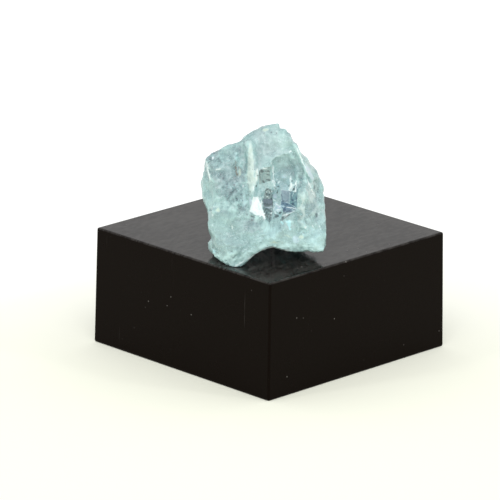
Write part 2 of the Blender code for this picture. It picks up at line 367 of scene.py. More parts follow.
window = {
    "chipTones": ("blue", "teal", "mauve"),  # facets of these tones are chips, with a point in their middle
    "line": 0.045,  # mm, painted highlight line inside the border of a chip
    "rise": 0.10,  # mm, to a chip's point
    "uneven": 0.3,  # share by which one facet is darker than the next: painted shade
    "facing": 6.0,  # how finely the way that a facet faces sets its painted shade
    "fineness": 0.09,  # mm, longest edge on a facet, as far as the halvings reach
    "halvings": 6,
    "sliver": 0.004,  # mm, edges this short are taken out
    "ripple": 0.02,  # mm
    "rippleFineness": 2.2,  # per mm
    "cutterReach": 5.0,  # mm from the facets out towards the viewer
}

# Ridges are whitened as worn edges and as a painted highlight along them; hollows are darkened as painted
# shade.
wornLook = {
    "reach": 4,  # steps over the mesh to the neighbours that a point is held against
    "evening": 2,  # times that the heights are evened out
    "ridge": 0.05,  # mm that a fully worn ridge stands out
    "wearAndHighlight": 0.55,
    "hollow": -0.04,  # mm that a hollow of full depth stands out
    "hollowShade": 0.5,
}

# Dents of the front: right, up, radius, depth in millimetres.
dents = [
    (-6.04, 9.37, 0.30, 0.16), (-5.80, 8.87, 0.28, 0.14), (-4.30, 10.3, 0.35, 0.12), (-4.20, 9.5, 0.30, 0.14),
    (-5.43, 8.3, 0.35, 0.12), (-4.94, 7.25, 0.35, 0.14), (-4.40, 7.9, 0.40, 0.14), (-4.08, 6.38, 0.35, 0.16),
    (-3.50, 6.9, 0.30, 0.12), (-3.38, 8.03, 0.30, 0.16), (-7.15, 11.5, 0.35, 0.16), (-6.6, 12.1, 0.30, 0.10),
    (-7.32, 4.95, 0.20, 0.12), (-6.91, 0.28, 0.25, 0.12), (-4.61, -0.2, 0.25, 0.1), (0.95, 15.15, 0.35, 0.22),
    (1.9, 14.85, 0.3, 0.12), (5.64, 7.4, 0.30, 0.18), (5.15, 7.89, 0.25, 0.14), (5.59, 10.41, 0.28, 0.14),
    (4.46, 5.99, 0.40, 0.10), (5.45, 4.24, 0.55, 0.16), (-7.28, 1.54, 0.45, 0.20), (6.35, 7.3, 0.40, 0.16),
    (4.75, 10.95, 0.35, 0.14), (-2.1, 4.2, 0.25, 0.18), (-1.2, 3.6, 0.35, 0.14), (0.9, 11.1, 0.25, 0.16),
]

# Worn ridges standing out of the front: places along each, then width and height in millimetres.
ridges = [
    ([(-7.74, 10.85), (-7.55, 10.0), (-7.24, 8.73)], 0.16, 0.14),
    ([(2.67, 13.25), (3.66, 11.14), (4.16, 10.14), (4.77, 9.14), (4.85, 7.7)], 0.22, 0.20),
    ([(-2.55, 13.2), (-2.5, 11.0), (-2.35, 7.6)], 0.60, 0.22),
    ([(3.5, 7.6), (3.8, 5.0), (3.8, 3.2)], 0.35, 0.14),
    ([(4.03, 10.39), (4.05, 8.0), (3.86, 6.36)], 0.22, 0.12),
    ([(-6.6, 10.1), (-6.0, 10.15)], 0.18, 0.12),
]


# The shift takes each noise from another part of the same field, so that no two agree.
def noiseOn(points, fineness, shift, octaves=1):
    weaker, finer = 0.8, 2.0  # each further octave
    return numpy.array([noise.fractal(Vector(point) * fineness + Vector(shift), weaker, finer, octaves)
                        for point in points])


# The point of the surface that is seen at right and up, taken further along the line of sight by depth.
def onSight(tree, right, up, depth):
    sightLine = Vector((0, 1, -sight["slope"]))
    away = sight["foot"] + sight["lean"] * up - sight["ahead"]
    start = Vector((right, away, up - sight["slope"] * (away - sight["plane"])))
    surface = tree.ray_cast(start, sightLine.normalized())[0]
    return surface + sightLine * depth


def etchedRelief(points):
    shifts = (3, 9, 1), (7, 2, 5), (1, 4, 8)
    bend = numpy.stack([noiseOn(points, stone["bendFineness"], shift) for shift in shifts], axis=1)
    bent = points + bend * stone["bend"]
    figures = numpy.array([noise.voronoi(Vector(point) * stone["etchFineness"])[0][0] for point in bent])
    return (stone["ripple"] * noiseOn(points, stone["rippleFineness"], (2.2, 5.1, 0.4))
            + stone["etch"] * (figures - stone["etchMiddle"])
            + stone["grain"] * noiseOn(points, stone["grainFineness"], (6, 1, 3)))


# Places as seen along the line of sight, right and up, and how far behind the general plane of the front.
def seen(points):
    up = points[:, 2] + sight["slope"] * (points[:, 1] - sight["plane"])
    return numpy.stack((points[:, 0], up), axis=1), points[:, 1] - sight["foot"] - sight["lean"] * up


def frontRelief(points):
    place, behind = seen(points)
    relief = numpy.zeros(len(points))
    for right, up, radius, deep in dents:
        relief -= deep * numpy.exp(-((place - (right, up)) ** 2).sum(axis=1) / radius ** 2)
    for path, width, height in ridges:
        nearest = numpy.full(len(points), numpy.inf)
        for start, end in zip(path, path[1:]):
            start, span = numpy.array(start), numpy.array(end) - numpy.array(start)
            along = numpy.clip((place - start) @ span / (span @ span), 0, 1)
            distance = numpy.linalg.norm(place - start - along[:, None] * span, axis=1)
            nearest = numpy.minimum(nearest, distance)
        relief += height * numpy.exp(-(nearest / width) ** 2)
    return relief * (behind < sight["reliefDepth"])


def stoneBody(fromStone):
    bm = bmesh.new()
    bm.from_mesh(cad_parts["aquamarine_crystal"].data)
    bmesh.ops.remove_doubles(bm, verts=bm.verts, dist=stone["weld"] * mm)
    bmesh.ops.transform(bm, matrix=fromStone.inverted(), verts=bm.verts)
    bmesh.ops.subdivide_edges(bm, edges=bm.edges, cuts=stone["cuts"], use_grid_fill=True)
    for turn in range(stone["wornPasses"]):
        bmesh.ops.smooth_vert(bm, verts=bm.verts, factor=stone["wear"], use_axis_x=True, use_axis_y=True,
                              use_axis_z=True)
    bm.normal_update()
    points = numpy.array([vert.co for vert in bm.verts])
    relief = etchedRelief(points) + frontRelief(points)
    for vert, push in zip(bm.verts, relief):
        vert.co += vert.normal * push
        vert.co.z = max(vert.co.z, 0.0)  # the foot stays flat
    tree = bvhtree.BVHTree.FromBMesh(bm)
    return newObject("aquamarine", bm), tree


# The body that the window is cut with: the facets, and walls from their border out towards the viewer.
def windowCutter(tree):
    bm = bmesh.new()
    corners = {name: bm.verts.new(onSight(tree, *place)) for name, place in windowCorners.items()}
    toneNames = list(tones)
    for letters, tone in windowFacets.items():
        bm.faces.new([corners[letter] for letter in letters]).material_index = 1 + toneNames.index(tone)
    bmesh.ops.recalc_face_normals(bm, faces=bm.faces)
    chipped = [face for face in bm.faces if toneNames[face.material_index - 1] in window["chipTones"]]
    lines = bmesh.ops.inset_individual(bm, faces=chipped, thickness=window["line"], depth=0)["faces"]
    for face in lines:
        face.material_index = 1 + toneNames.index("line")
    bmesh.ops.poke(bm, faces=chipped, offset=window["rise"], center_mode="MEAN_WEIGHTED")
    bmesh.ops.triangulate(bm, faces=bm.faces)
    for turn in range(window["halvings"]):
        coarse = [edge for edge in bm.edges if edge.calc_length() > window["fineness"]]
        bmesh.ops.subdivide_edges(bm, edges=coarse, cuts=1)
        bmesh.ops.triangulate(bm, faces=bm.faces)
        bmesh.ops.dissolve_degenerate(bm, dist=window["sliver"], edges=bm.edges)
    bm.normal_update()
    inner = [vert for vert in bm.verts if not vert.is_boundary]
    ripples = noiseOn([vert.co for vert in inner], window["rippleFineness"], (4, 4, 9), 3)
    for vert, push in zip(inner, ripples):
        vert.co += vert.normal * push * window["ripple"]
    rim = [edge for edge in bm.edges if edge.is_boundary]
    wall = bmesh.ops.extrude_edge_only(bm, edges=rim)["geom"]
    moved = [item for item in wall if isinstance(item, bmesh.types.BMVert)]
    toViewer = Vector((0, -1, sight["slope"])) * window["cutterReach"]
    bmesh.ops.translate(bm, vec=toViewer, verts=moved)
    bmesh.ops.holes_fill(bm, edges=[edge for edge in bm.edges if edge.is_boundary])
    bmesh.ops.triangulate(bm, faces=bm.faces)
    bmesh.ops.recalc_face_normals(bm, faces=bm.faces)
    return newObject("windowCutter", bm)


# Tells ridges from hollows: how far each point stands out of its neighbours, evened out a little.
def standing(mesh, points):
    normals = numpy.empty(len(points) * 3)
    mesh.vertex_normals.foreach_get("vector", normals)
    ends = numpy.empty(len(mesh.edges) * 2, dtype=int)
    mesh.edges.foreach_get("vertices", ends)
    ends = ends.reshape(-1, 2)
    starts, others = ends.flatten("F"), ends[:, ::-1].flatten("F")
    count = numpy.bincount(starts, minlength=len(points))

    def evened(values):
        return numpy.bincount(starts, values[others], len(points)) / count

    centre = points
    for turn in range(wornLook["reach"]):
        centre = numpy.stack([evened(centre[:, axis]) for axis in range(3)], axis=1)
    stands = ((points - centre) * normals.reshape(-1, 3)).sum(axis=1)
    for turn in range(wornLook["evening"]):
        stands = (stands + evened(stands)) / 2
    return stands


# Borders of the marks: share of an oval's half width where a mark ends and where it is whole, mm by which
# the border strays, how fine its turns are per mm, their octaves and shifts.
borders = {
    "soft": ((1.4, 0.1), 0.8, 1.0, 3, ((1, 2, 3), (7, 8, 9))),
    "crisp": ((1.25, 0.8), 0.10, 3.0, 2, ((4, 2, 3), (5, 8, 9))),
}

# Marks of the front, by kind: border, colour, strength, how much clearer and milkier the stone is there,
# painted glow, then an oval at each place: right, up, half width, half height in millimetres, turn in
# degrees.
marks = {
    "shade": ("soft", (0.34, 0.51, 0.57), 0.55, 0.1, -0.1, 0, [
        (-4.13, 8.86, 0.6, 1.13, 0), (-6.06, 4.57, 1.45, 0.5, 5), (-5.58, 9.49, 2.05, 1.64, 0),
        (-4.25, 12.13, 1.45, 0.76, 20), (-3.35, 8.73, 0.36, 2.52, 0), (-4.61, 7.47, 1.21, 1.51, 35),
        (-3.04, 5.33, 0.36, 1.01, 0), (3.36, 8.48, 0.3, 1.13, 0), (5, 5.58, 0.72, 1.13, 0),
        (-2.8, 3.44, 1.21, 0.38, -8), (4.2, 4.32, 0.36, 1.26, 0)]),
    # painted shade: darker patches on the lower left, the top and the right flank
    "dimShade": ("soft", (0.43, 0.60, 0.62), 0.40, 0, -0.05, 0, [
        (-3.16, 2.94, 1.45, 1.26, 0), (-5.46, 1.17, 1.93, 1.76, 0), (2.51, 14.28, 0.85, 1.01, -30),
        (5.41, 8.73, 0.72, 1.76, -20)]),
    # painted shade: darker in the rounded recess right of the pillar and in a hollow on the left
    "recessShade": ("soft", (0.42, 0.60, 0.67), 0.60, 0.1, -0.05, 0, [
        (2.15, 10.24, 1.33, 1.26, 0), (-7.03, 11.76, 0.6, 0.76, 0)]),
    # painted light: brighter patches on the skirt and about the window, where the stone is also a little
    # milkier
    "bright": ("soft", (0.54, 0.83, 0.85), 0.65, -0.1, 0.15, 0, [
        (5.41, 1.17, 1.33, 1.13, 0), (1.67, 3.44, 0.72, 0.5, 0), (3.96, 3.44, 0.48, 1.51, 0),
        (3.96, 2.68, 0.72, 0.63, 0), (5.17, 2.68, 0.72, 0.76, 0), (-3.04, 6.34, 0.36, 0.63, 0),
        (-4.25, 7.6, 0.36, 0.38, 0), (0.34, 2.18, 0.48, 1.01, 0), (-0.63, 1.17, 0.97, 0.63, 0),
        (1.18, 11.38, 1.09, 0.33, 24), (-0.63, 2.81, 0.6, 0.5, 0), (5.77, 7.47, 0.36, 1.13, -10),
        (6.02, 2.94, 0.36, 1.26, 0), (-4.01, 11.5, 0.6, 0.88, 0), (0.58, 2.94, 0.48, 0.63, 0)]),
    "gloom": ("soft", (0.24, 0.38, 0.42), 0.55, 0, -0.05, 0, [
        (-2.44, 3.63, 0.97, 0.5, -14), (-1.84, 3.44, 0.72, 0.43, -20), (-3.89, 9.11, 0.6, 0.76, 0),
        (-4.98, 7.09, 0.6, 0.5, 0), (-6.67, 12.26, 0.97, 0.5, 25), (-7.03, 10.24, 0.6, 1.01, 0),
        (-3.77, 12.51, 0.3, 1.26, 0), (-2.56, 2.68, 0.97, 0.5, 0), (3.36, 9.99, 0.24, 1.01, 0),
        (-7.88, 3.44, 0.18, 1.26, 0), (-6.55, 8.98, 0.72, 0.76, 0)]),
    "veil": ("soft", (0.54, 0.64, 0.67), 0.42, -0.1, 0.1, 0, [
        (-0.14, 12.76, 2.3, 2.02, 12), (-1.11, 14.65, 1.69, 1.01, 20), (-1.72, 10.62, 0.72, 1.76, 0),
        (-6.43, 8.23, 0.6, 0.5, 0), (-3.41, 11.5, 0.24, 2.02, 0), (4.57, 7.22, 0.36, 1.51, 0),
        (5.65, 5.2, 0.48, 2.27, 0), (2.03, 2.94, 0.6, 0.5, 0)]),
    # painted soft highlights: pale blue patches, mostly in the window, where the stone is also a little
    # milkier
    "haze": ("crisp", (0.58, 0.78, 0.88), 0.65, -0.1, 0.1, 0, [
        (0.82, 5.27, 0.43, 0.43, 0), (0.58, 5.83, 0.24, 0.25, 0), (1.3, 5.53, 0.29, 0.13, -10),
        (1.55, 9.24, 0.36, 0.2, 0), (3, 1.42, 0.36, 0.5, 0), (-6.97, 11.44, 0.19, 0.2, 0)]),
    # painted light: the foot is paler cyan and glows a little
    "foot": ("soft", (0.55, 0.84, 0.84), 0.65, -0.3, 0.25, 0.035, [
        (1.79, 0.23, 1.69, 0.57, 0), (5.17, 0.23, 1.45, 0.5, 0), (-0.39, 0.6, 1.21, 0.63, 15),
        (-2.8, -0.84, 1.09, 0.57, 38), (-5.1, -1.22, 1.57, 1.01, -12), (-7.15, -0.34, 0.48, 1.26, 15),
        (-0.75, 0.16, 0.85, 0.38, 25), (0.58, 0.23, 0.97, 0.38, -5), (-7.03, -0.97, 0.48, 0.76, 30),
        (-5.7, -1.47, 0.72, 0.5, -26)]),
    # painted highlights: bright glowing lines along the lower rim and two upper edges
    "rim": ("crisp", (0.72, 0.88, 0.87), 0.75, -0.2, 0.2, 0.06, [
        (1.43, 0.01, 0.97, 0.09, 0), (0.1, 0.34, 0.48, 0.09, 10), (-1.11, -0.09, 0.97, 0.09, 28),
        (-2.32, -0.84, 0.48, 0.09, 38), (-3.77, -1.79, 0.97, 0.09, 35), (-5.94, -1.64, 1.45, 0.09, -26),
        (-7.54, -0.34, 0.11, 0.76, 10), (-7.69, 1.17, 0.08, 0.76, 0), (-7.15, -1.35, 0.12, 0.25, 45),
        (-2.2, 14.97, 1.09, 0.1, 28), (-3.65, 13.83, 0.72, 0.09, 38)]),
    "milk": ("soft", (0.66, 0.79, 0.76), 0.65, 0, 0.15, 0, [
        (3.66, 5.58, 0.36, 2.52, -3), (4.32, 11.25, 0.48, 1.76, 28), (4.81, 7.47, 0.36, 1.51, -3),
        (-2.32, 9.24, 0.36, 1.76, 0), (-7.88, 10.5, 0.18, 1.01, 12)]),
    "pillar": ("crisp", (0.66, 0.80, 0.75), 0.75, -0.2, 0.15, 0, [
        (-2.49, 10.24, 0.37, 3.02, 1), (-1.72, 9.3, 0.18, 0.76, 4), (-2.02, 8.61, 0.14, 0.5, 6)]),
    "glow": ("crisp", (0.44, 0.84, 0.90), 0.70, -0.3, 0.2, 0.02, [
        (2.22, 3.31, 0.22, 0.45, 0), (2.1, 3.64, 0.29, 0.15, 0), (2.3, 2.68, 0.11, 0.2, 0),
        (-6.73, -0.21, 0.24, 0.2, 0), (1.33, 3.44, 0.1, 0.2, 50), (-0.14, 3.19, 0.31, 0.11, -30)]),
    "glint": ("crisp", (0.85, 0.95, 0.95), 0.85, -0.6, 0.3, 0.03, [
        (-7.07, 11.44, 0.1, 0.15, 0), (-6.31, 10.05, 0.42, 0.09, 20), (-7.01, 4.32, 0.08, 0.1, 0),
        (-4.61, 2.81, 0.07, 0.2, 0), (2.15, 12.39, 0.22, 0.1, 30), (3.72, 11.13, 0.06, 2.14, 24),
        (-7.54, 9.74, 0.07, 1.13, 12), (4.69, 7.98, 0.07, 1.01, 24), (0.17, 9.99, 0.05, 0.76, 4),
        (0.29, 9.24, 0.06, 0.5, 8), (0.22, 8.53, 0.11, 0.28, 15), (0.41, 8.15, 0.06, 0.15, 40),
        (0.86, 8.48, 0.06, 0.25, -6), (0.64, 8.86, 0.12, 0.05, -30), (2.34, 7.98, 0.16, 0.58, -4),
        (2.42, 8.23, 0.12, 0.33, 10), (2.22, 7.72, 0.11, 0.25, -20), (2.9, 7.53, 0.12, 0.28, 0),
        (3, 8.35, 0.08, 0.33, 0), (2.34, 8.91, 0.06, 0.25, 10), (-0.75, 10.29, 0.31, 0.1, 8),
        (0, 10.82, 0.08, 0.2, 0), (0.34, 8.54, 0.13, 0.23, 20), (2.63, 8.16, 0.19, 0.09, 50),
        (2.92, 8.48, 0.07, 0.23, -20), (2.95, 7.72, 0.07, 0.38, 6), (2.79, 7.42, 0.19, 0.08, 10),
        (2.13, 7.85, 0.12, 0.08, 0), (2.56, 7.72, 0.07, 0.25, -30), (2.33, 8.48, 0.07, 0.28, 0),
        (3, 8.16, 0.06, 0.2, 0), (2.51, 8.98, 0.19, 0.08, 10), (2.25, 8.79, 0.06, 0.2, 0),
        (0.76, 5.7, 0.27, 0.08, -32), (1.09, 5.48, 0.14, 0.08, -30), (0.53, 4.7, 0.1, 0.19, 20),
        (0.94, 5.13, 0.27, 0.1, 10), (0.36, 5.2, 0.05, 0.33, -8), (0.7, 4.91, 0.19, 0.05, -20),
        (1.73, 4.46, 0.36, 0.1, 16), (2.57, 4.79, 0.48, 0.06, 26), (2.39, 5.36, 0.72, 0.06, -6),
        (0.07, 4.7, 0.05, 0.5, 0), (-0.82, 4.15, 0.14, 0.25, 25), (-1.09, 5.91, 0.1, 0.45, 10),
        (-1.23, 6.51, 0.17, 0.2, 0), (-0.14, 3.24, 0.27, 0.08, -35), (0.41, 6.26, 0.17, 0.05, -20),
        (0.64, 6.04, 0.14, 0.04, 10), (-0.97, 6.67, 0.07, 0.16, 20), (-0.43, 6.69, 0.16, 0.06, -35),
        (-0.28, 6.51, 0.11, 0.04, -20), (0.13, 7.35, 0.05, 0.11, 20), (-0.6, 7.27, 0.1, 0.04, 30),
        (-0.12, 7.25, 0.04, 0.1, 0), (-1.2, 5.58, 0.18, 0.5, 8), (-0.87, 4.57, 0.19, 0.45, 20),
        (-1.53, 6.27, 0.17, 0.45, 10), (-1.26, 5.71, 0.12, 0.33, 20), (-1.92, 5.58, 0.31, 0.76, 14),
        (-1.41, 4.76, 0.36, 0.28, -20), (-0.33, 3.25, 0.22, 0.08, -30), (-0.68, 4.12, 0.1, 0.2, 30),
        (0.58, 2.18, 0.17, 0.05, -20), (-1.68, 9.87, 0.12, 0.33, 0), (-1.79, 8.98, 0.11, 0.33, 0),
        (-2.14, 7.72, 0.08, 0.3, 0), (4.14, 2.94, 0.12, 0.15, 0), (5.05, 3.06, 0.07, 0.14, 30),
        (5.83, 3.06, 0.08, 0.08, 0), (-3.41, 7.98, 0.08, 0.16, 0)]),
    # painted reflections: lilac streaks in the window, with a faint painted glow; the one on the right flank
    # is a tint
    "lilacSheen": ("crisp", (0.58, 0.64, 0.78), 0.55, -0.3, 0.2, 0.02, [
        (-0.27, 5.34, 0.43, 0.07, 3), (1, 5.39, 0.17, 0.18, 0), (0.46, 6.84, 0.24, 0.28, 0),
        (4.57, 9.74, 0.24, 1.01, 25), (-2.44, 6.09, 0.12, 0.5, 10)]),
    "shadow": ("crisp", (0.05, 0.09, 0.10), 0.88, -0.3, 0.2, 0, [
        (-1.14, 9.87, 0.19, 0.24, 0), (-0.51, 9.87, 0.39, 0.08, 0), (-0.39, 9.45, 0.24, 0.08, -10),
        (-0.35, 8.78, 0.22, 0.1, -15), (-1.37, 9.24, 0.06, 0.63, 0), (-0.93, 8.57, 0.14, 0.25, 40),
        (-1.62, 9.31, 0.11, 0.06, -20), (-1.78, 7.98, 0.08, 0.16, 20), (-2.46, 7.28, 0.07, 0.1, 0),
        (-0.51, 7.55, 0.23, 0.09, 28), (-0.56, 7.02, 0.14, 0.15, 0), (-0.22, 6.94, 0.13, 0.19, 0),
        (0.07, 6.44, 0.11, 0.13, 0), (0.27, 7.43, 0.07, 0.19, -12), (0.8, 8, 0.13, 0.1, 0),
        (1.06, 11, 0.22, 0.14, 20), (0.24, 10.24, 0.1, 0.2, -15), (-0.14, 4.9, 0.27, 0.1, 0),
        (-0.39, 5.13, 0.29, 0.09, -10), (-0.56, 4.6, 0.12, 0.3, -20), (0, 4.42, 0.12, 0.13, 0),
        (-0.31, 4.52, 0.19, 0.08, 0), (-0.1, 3.87, 0.07, 0.43, -3), (-0.39, 4.2, 0.08, 0.23, 20),
        (0.72, 4.27, 0.27, 0.19, 20), (1.11, 4.75, 0.19, 0.08, 10), (1.43, 4.12, 0.17, 0.08, 30),
        (-0.72, 4.95, 0.07, 0.3, -28), (1.74, 4.16, 0.46, 0.14, 27), (-0.45, 5.54, 0.41, 0.06, 0),
        (-0.99, 5.96, 0.06, 0.33, 0), (0.17, 5.9, 0.06, 0.3, 0), (1.35, 3.79, 0.27, 0.11, 20),
        (2.08, 4.4, 0.29, 0.09, 28), (0.77, 3.69, 0.31, 0.06, 0), (0.51, 4.5, 0.17, 0.06, 30),
        (1.04, 4.62, 0.14, 0.06, -30), (0.36, 3.99, 0.06, 0.2, 0), (-0.34, 7.67, 0.31, 0.06, -12),
        (-0.7, 7.3, 0.06, 0.2, 20), (0.14, 6.89, 0.05, 0.28, -8), (-0.43, 6.54, 0.14, 0.06, 25),
        (-0.1, 7.4, 0.11, 0.05, -40), (-0.63, 5.76, 0.31, 0.11, -4), (-0.19, 5.71, 0.29, 0.1, 10),
        (0.64, 3.44, 0.24, 0.05, -10), (2.71, 7.7, 0.1, 0.2, -20), (2.51, 8.66, 0.07, 0.08, 0),
        (0.56, 8.53, 0.08, 0.2, 0), (0.53, 7.79, 0.19, 0.08, -20), (0.77, 7.35, 0.08, 0.2, 0),
        (2.17, 8.15, 0.06, 0.09, 0), (2.31, 7.31, 0.11, 0.05, 0), (2.85, 7.22, 0.14, 0.06, 20),
        (-2.2, 4.21, 0.31, 0.11, -28), (-1.11, 3.75, 0.19, 0.08, -20), (-2.92, 4.45, 0.1, 0.15, 40),
        (-1.62, 3.26, 0.1, 0.05, 0), (-2.26, 3.75, 0.19, 0.09, 0), (3.78, 9.87, 0.06, 0.44, -10)]),
    # painted shade: dark blue patches seen in the window
    "blueShade": ("crisp", (0.03, 0.08, 0.15), 0.85, -0.3, 0.2, 0, [
        (1.61, 5.08, 0.19, 0.3, -20), (1.85, 5.72, 0.22, 0.08, 25), (1.49, 5.81, 0.14, 0.05, 0),
        (2.15, 4.88, 0.43, 0.11, 10), (2.75, 5.13, 0.17, 0.06, 0), (2.59, 6.27, 0.14, 0.15, 0),
        (2.61, 5.81, 0.16, 0.18, 0), (1.67, 6.17, 0.34, 0.06, 0), (1.26, 6.65, 0.06, 0.45, 0),
        (2.45, 6.72, 0.06, 0.44, 0), (3.03, 6.46, 0.06, 0.5, 0), (1.79, 5.42, 0.12, 0.08, 0)]),
    "speck": ("crisp", (0.05, 0.10, 0.13), 0.85, -0.3, 0.2, 0, [
        (-6.06, 9.36, 0.14, 0.15, 0), (-5.8, 8.86, 0.12, 0.18, 0), (-7.25, 4.95, 0.07, 0.11, 0),
        (-6.91, 0.29, 0.11, 0.1, 0), (-4.61, -0.19, 0.14, 0.08, 0), (5.61, 7.5, 0.08, 0.38, 0),
        (5.16, 7.89, 0.06, 0.3, 0), (5.59, 10.41, 0.11, 0.11, 0), (5.45, 4.4, 0.12, 0.33, 0),
        (-7.3, 11.2, 0.1, 0.13, 0), (-6.85, 12.01, 0.11, 0.11, 0), (0.89, 11.09, 0.22, 0.11, 25),
        (-5.3, 8.2, 0.12, 0.13, 0), (-4.9, 7.19, 0.13, 0.11, 20), (-4.11, 6.4, 0.14, 0.11, 0),
        (-4.4, 8.1, 0.11, 0.16, 0), (-3.6, 6.9, 0.11, 0.11, 0), (-3.89, 7.6, 0.08, 0.09, 0),
        (-4.74, 7.85, 0.08, 0.06, 0), (-4.25, 7.22, 0.07, 0.08, 0), (-5.1, 6.72, 0.07, 0.08, 0),
        (-3.41, 6.21, 0.07, 0.13, 0), (-0.08, 14.72, 0.12, 0.1, 0), (-0.93, 14.59, 0.1, 0.08, 0),
        (0.58, 14.65, 0.08, 0.09, 0), (-4.01, 5.33, 0.08, 0.06, 0), (-2.8, 8.23, 0.06, 0.1, 0),
        (-0.39, 0.6, 0.1, 0.06, 0), (0.16, 0.48, 0.07, 0.06, 0), (-2.26, 10.05, 0.06, 0.06, 0),
        (-2.02, 10.12, 0.05, 0.08, 0)]),
    "rust": ("crisp", (0.11, 0.10, 0.06), 0.85, -0.3, 0.2, 0, [
        (-4.23, 9.93, 0.11, 0.68, 8), (-4.32, 10.87, 0.07, 0.2, 0), (-4.08, 9.42, 0.1, 0.2, 0),
        (-3.95, 10.24, 0.06, 0.25, 0)]),
    "sand": ("crisp", (0.66, 0.78, 0.62), 0.60, 0, 0.3, 0, [
        (-3.77, 9.7, 0.12, 0.5, 0), (2.11, 1.8, 0.48, 0.09, -20), (0.43, 1, 0.48, 0.09, 0),
        (3.68, 1.7, 0.3, 0.2, 0), (-6.35, 4.95, 0.21, 0.25, 0), (-0.75, 15.03, 0.36, 0.18, 10)]),
}


def smoothed(values, low, high):
    share = numpy.clip((values - low) / (high - low), 0, 1)
    return share * share * (3 - 2 * share)


# How much a mark shows at each place: 1 inside its oval, 0 outside and on the back of the stone.
def within(place, behind, oval, ends):
    right, up, wide, tall, turn = oval
    angle = math.radians(turn)
    away = place - (right, up)
    along = away @ (math.cos(angle), math.sin(angle))
    across = away @ (-math.sin(angle), math.cos(angle))
    inside = smoothed(numpy.hypot(along / wide, across / tall), *ends)
    return inside * smoothed(behind, *sight["marksDepth"])


# Lays the facets' tones and the marks on the mesh, for the material to read: a colour with its cover, for
# stains and for painted light and shade alike, and how clear and milky the stone is with its painted glow, at
# every corner of every face; and rough and stands at every point.
def layMarks(mesh):
    points = numpy.empty(len(mesh.vertices) * 3)
    mesh.vertices.foreach_get("co", points)
    points = points.reshape(-1, 3)
    place, behind = seen(points)
    strayed = {}
    for border, (ends, stray, fineness, octaves, shifts) in borders.items():
        straying = numpy.stack([noiseOn(points, fineness, shift, octaves) for shift in shifts], axis=1)
        strayed[border] = place + stray * straying

    kinds = numpy.empty(len(mesh.polygons), dtype=int)  # 0 on the stone's own faces, then one for each tone
    mesh.polygons.foreach_get("material_index", kinds)
    sizes = numpy.empty(len(mesh.polygons), dtype=int)
    mesh.polygons.foreach_get("loop_total", sizes)
    pointOf = numpy.empty(len(mesh.loops), dtype=int)
    mesh.loops.foreach_get("vertex_index", pointOf)
    shades = numpy.array([1 - window["uneven"] * abs(noise.cell(face.normal * window["facing"]))
                          for face in mesh.polygons])
    shades = numpy.where(kinds > 1, shades, 1.0)  # the stone's own face and the white facet are even
    colors = numpy.array([(0.0, 0.0, 0.0)] + [color for color, clear, paintedGlow in tones.values()])
    covers = numpy.array([0.0] + [facetLook["cover"]] * len(tones))
    toneNatureAndGlow = numpy.array([(0.0, 0.0, 0.0)] + [(clear, facetLook["milk"], paintedGlow)
                                               for color, clear, paintedGlow in tones.values()])
    stainAndPaintedLight = numpy.repeat(colors[kinds] * shades[:, None] * covers[kinds][:, None], sizes, axis=0)
    cover = numpy.repeat(covers[kinds], sizes)
    natureAndGlow = numpy.repeat(toneNatureAndGlow[kinds], sizes, axis=0)

    for border, color, strength, clears, milks, paintedGlows, places in marks.values():
        for oval in places:
            mask = within(strayed[border], behind, oval, borders[border][0])[pointOf]
            share = mask * strength
            stainAndPaintedLight = stainAndPaintedLight * (1 - share)[:, None] + numpy.array(color) * share[:, None]
            cover = cover * (1 - share) + share
            natureAndGlow += mask[:, None] * (clears, milks, paintedGlows)
    leastCover = 0.001  # keeps the division clear of nought
    stainAndPaintedLight = numpy.concatenate((stainAndPaintedLight / numpy.maximum(cover, leastCover)[:, None], cover[:, None]), axis=1)
    mesh.attributes.new("stainAndPaintedLight", "FLOAT_COLOR", "CORNER").data.foreach_set("color", stainAndPaintedLight.flatten())
    mesh.attributes.new("natureAndGlow", "FLOAT_VECTOR", "CORNER").data.foreach_set("vector", natureAndGlow.flatten())
    isFacet = numpy.repeat((kinds > 0) * 1.0, sizes)
    mesh.attributes.new("facet", "FLOAT", "CORNER").data.foreach_set("value", isFacet)

    rough = numpy.full(len(points), stoneLook["calm"])
    for oval in mottled:
        rough += within(strayed["soft"], behind, oval, mottledEnds) * (1 - stoneLook["calm"])
    mesh.attributes.new("rough", "FLOAT", "POINT").data.foreach_set("value", rough)
    mesh.attributes.new("stands", "FLOAT", "POINT").data.foreach_set("value", standing(mesh, points))


def makeAquamarine():
    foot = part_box("aquamarine_crystal")[0].z
    turned = Matrix.Rotation(math.radians(stone["turn"]), 4, "Z")
    fromStone = Matrix.Translation((0, 0, foot)) @ turned @ Matrix.Scale(mm, 4)
    body, tree = stoneBody(fromStone)
    cutter = windowCutter(tree)
    for tone in ["body"] + list(tones):
        slotPaint = bpy.data.materials.new(tone)
        body.data.materials.append(slotPaint)
        cutter.data.materials.append(slotPaint)
    cut = body.modifiers.new("window", "BOOLEAN")
    cut.operation = "DIFFERENCE"
    cut.solver = "MANIFOLD"
    cut.object = cutter
    graph = bpy.context.evaluated_depsgraph_get()
    finished = bpy.data.meshes.new_from_object(body.evaluated_get(graph))
    body.modifiers.clear()
    body.data = finished
    bpy.data.objects.remove(cutter)
    layMarks(finished)
    finished.polygons.foreach_set("material_index", [0] * len(finished.polygons))
    finished.materials.clear()
    finished.transform(fromStone @ Matrix.Translation((0, 0, -stone["sink"])))
    finished.shade_smooth()
    finished.set_sharp_from_angle(angle=math.radians(stone["sharpAngle"]))
    return body


